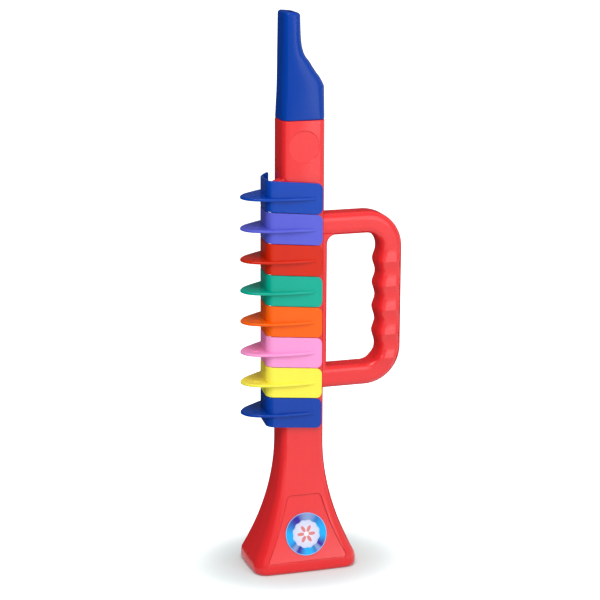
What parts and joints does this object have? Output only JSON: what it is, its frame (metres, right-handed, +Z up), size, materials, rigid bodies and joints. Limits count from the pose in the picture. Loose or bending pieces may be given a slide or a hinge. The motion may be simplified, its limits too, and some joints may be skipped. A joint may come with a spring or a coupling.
{
  "type": "toy trumpet",
  "caption": "Child's toy trumpet: red tube with flared bell and hand grip, blue mouthpiece, and a row of coloured sprung lever keys that uncover reed holes.",
  "frame": {"origin": "under the middle of the whole toy's box, on the flat rim of the bell it stands on", "axes": "+Z up the tube from the bell to the mouthpiece, +X towards the hand grip with the keys' fins at -X, -Y the side with the key arms, tone holes and sticker"},
  "size_m": [0.1126, 0.048, 0.38],
  "materials": {
    "body_red": "gloss moulded",
    "mouthpiece_blue": "gloss moulded",
    "inner_plastic": "plain moulded",
    "gasket_rubber": "matte",
    "pad_rubber": "matte",
    "steel": "bright drawn",
    "brass": "rolled",
    "sticker_film": "gloss printed film",
    "key_1_blue": "gloss moulded",
    "key_2_violet": "gloss moulded",
    "key_3_red": "gloss moulded",
    "key_4_teal": "gloss moulded",
    "key_5_orange": "gloss moulded",
    "key_6_pink": "gloss moulded",
    "key_7_yellow": "gloss moulded",
    "key_8_blue": "gloss moulded"
  },
  "bodies": {
    "trumpet_body": {"near_body_shell": "body_red", "far_body_shell": "body_red", "mouthpiece": "mouthpiece_blue", "chamber_plug": "inner_plastic", "reed_gasket": "gasket_rubber", "reed_plate": "inner_plastic", "reed_1": "brass", "reed_2": "brass", "reed_3": "brass", "reed_4": "brass", "reed_5": "brass", "reed_6": "brass", "reed_7": "brass", "reed_8": "brass", "reed_rivet_1": "brass", "reed_rivet_2": "brass", "reed_rivet_3": "brass", "reed_rivet_4": "brass", "reed_rivet_5": "brass", "reed_rivet_6": "brass", "reed_rivet_7": "brass", "reed_rivet_8": "brass", "reed_plate_screw_1": "steel", "reed_plate_screw_2": "steel", "reed_plate_screw_3": "steel", "reed_plate_screw_4": "steel", "hinge_rod": "steel", "bell_sticker": "sticker_film", "key_spring_1": "steel", "key_spring_2": "steel", "key_spring_3": "steel", "key_spring_4": "steel", "key_spring_5": "steel", "key_spring_6": "steel", "key_spring_7": "steel", "key_spring_8": "steel"},
    "lever_1": {"key_1": "key_1_blue", "key_pad_1": "pad_rubber"},
    "lever_2": {"key_2": "key_2_violet", "key_pad_2": "pad_rubber"},
    "lever_3": {"key_3": "key_3_red", "key_pad_3": "pad_rubber"},
    "lever_4": {"key_4": "key_4_teal", "key_pad_4": "pad_rubber"},
    "lever_5": {"key_5": "key_5_orange", "key_pad_5": "pad_rubber"},
    "lever_6": {"key_6": "key_6_pink", "key_pad_6": "pad_rubber"},
    "lever_7": {"key_7": "key_7_yellow", "key_pad_7": "pad_rubber"},
    "lever_8": {"key_8": "key_8_blue", "key_pad_8": "pad_rubber"}
  },
  "joints": [
    {"name": "key_1_press", "type": "hinge", "parent": "trumpet_body", "child": "lever_1", "pos_m": [-0.033, -0.0083, 0.2599], "axis": [0, 0, -1], "range_deg": [0, 8], "stiffness_Nm_per_rad": 0.15, "springref_deg": -5.73, "deforming": ["key_spring_1"]},
    {"name": "key_2_press", "type": "hinge", "parent": "trumpet_body", "child": "lever_2", "pos_m": [-0.033, -0.0083, 0.23885], "axis": [0, 0, -1], "range_deg": [0, 8], "stiffness_Nm_per_rad": 0.15, "springref_deg": -5.73, "deforming": ["key_spring_2"]},
    {"name": "key_3_press", "type": "hinge", "parent": "trumpet_body", "child": "lever_3", "pos_m": [-0.033, -0.0083, 0.2178], "axis": [0, 0, -1], "range_deg": [0, 8], "stiffness_Nm_per_rad": 0.15, "springref_deg": -5.73, "deforming": ["key_spring_3"]},
    {"name": "key_4_press", "type": "hinge", "parent": "trumpet_body", "child": "lever_4", "pos_m": [-0.033, -0.0083, 0.19675], "axis": [0, 0, -1], "range_deg": [0, 8], "stiffness_Nm_per_rad": 0.15, "springref_deg": -5.73, "deforming": ["key_spring_4"]},
    {"name": "key_5_press", "type": "hinge", "parent": "trumpet_body", "child": "lever_5", "pos_m": [-0.033, -0.0083, 0.1757], "axis": [0, 0, -1], "range_deg": [0, 8], "stiffness_Nm_per_rad": 0.15, "springref_deg": -5.73, "deforming": ["key_spring_5"]},
    {"name": "key_6_press", "type": "hinge", "parent": "trumpet_body", "child": "lever_6", "pos_m": [-0.033, -0.0083, 0.15465], "axis": [0, 0, -1], "range_deg": [0, 8], "stiffness_Nm_per_rad": 0.15, "springref_deg": -5.73, "deforming": ["key_spring_6"]},
    {"name": "key_7_press", "type": "hinge", "parent": "trumpet_body", "child": "lever_7", "pos_m": [-0.033, -0.0083, 0.1336], "axis": [0, 0, -1], "range_deg": [0, 8], "stiffness_Nm_per_rad": 0.15, "springref_deg": -5.73, "deforming": ["key_spring_7"]},
    {"name": "key_8_press", "type": "hinge", "parent": "trumpet_body", "child": "lever_8", "pos_m": [-0.033, -0.0083, 0.11255], "axis": [0, 0, -1], "range_deg": [0, 8], "stiffness_Nm_per_rad": 0.15, "springref_deg": -5.73, "deforming": ["key_spring_8"]}
  ]
}
